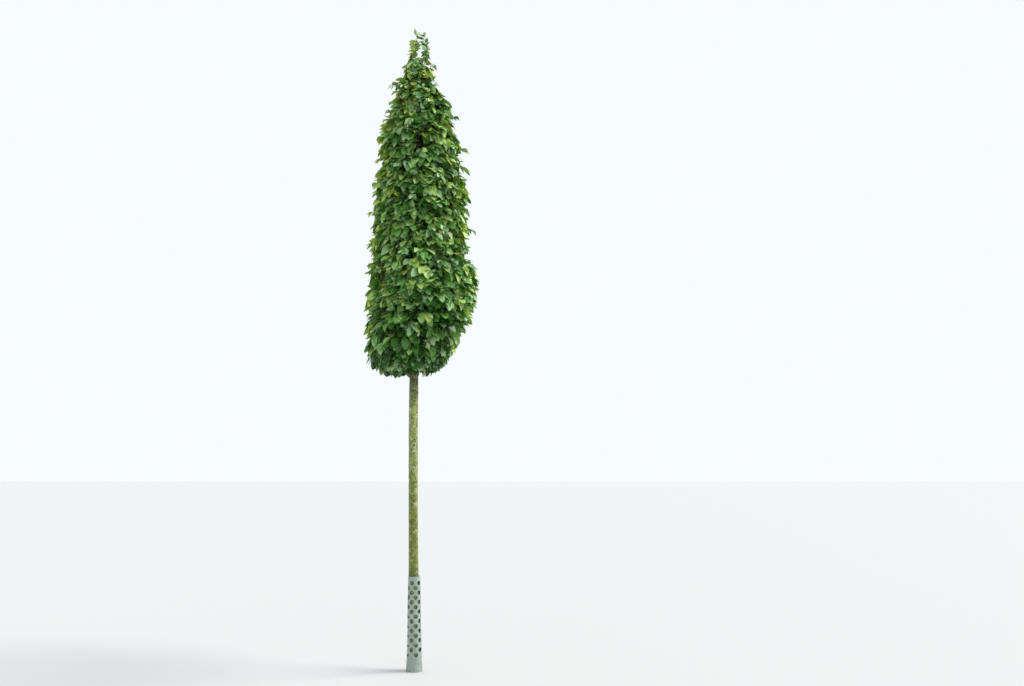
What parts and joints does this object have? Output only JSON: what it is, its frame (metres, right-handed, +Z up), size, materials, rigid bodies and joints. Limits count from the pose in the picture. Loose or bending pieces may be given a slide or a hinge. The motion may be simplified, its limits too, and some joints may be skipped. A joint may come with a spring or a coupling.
{
  "type": "columnar hornbeam tree",
  "caption": "Narrow upright deciduous tree on a clear stem: a dense clipped column of leaves that ends in a thin open spire, with a perforated guard round the foot.",
  "frame": {"origin": "middle of the flat cut under the trunk, at ground level", "axes": "+Z up the trunk, +X to the right in the picture, +Y away from the viewer"},
  "size_m": [0.7727, 0.7918, 4.501],
  "materials": {
    "bark": "grey-green bark with pale lichen",
    "leaves": "soft green leaves",
    "guard_plastic": "pale blue-grey matt plastic"
  },
  "bodies": {
    "root": {"trunk": "bark", "trunk_guard": "guard_plastic", "bough_01": "bark", "bough_02": "bark", "bough_03": "bark", "bough_04": "bark", "bough_05": "bark", "bough_06": "bark", "bough_07": "bark", "bough_08": "bark", "bough_09": "bark", "bough_10": "bark", "bough_11": "bark", "bough_12": "bark", "bough_13": "bark", "bough_14": "bark", "bough_15": "bark", "bough_16": "bark", "bough_17": "bark", "bough_18": "bark", "bough_19": "bark", "bough_20": "bark", "bough_21": "bark", "bough_22": "bark", "foliage_01": "leaves", "foliage_02": "leaves", "foliage_03": "leaves", "foliage_04": "leaves", "foliage_05": "leaves", "foliage_06": "leaves", "foliage_07": "leaves", "foliage_08": "leaves", "foliage_09": "leaves", "foliage_10": "leaves", "foliage_11": "leaves", "foliage_12": "leaves", "foliage_13": "leaves", "foliage_14": "leaves", "foliage_15": "leaves", "foliage_16": "leaves", "foliage_17": "leaves", "foliage_18": "leaves", "foliage_19": "leaves", "foliage_20": "leaves", "foliage_21": "leaves", "foliage_22": "leaves", "foliage_top": "leaves"}
  },
  "joints": []
}
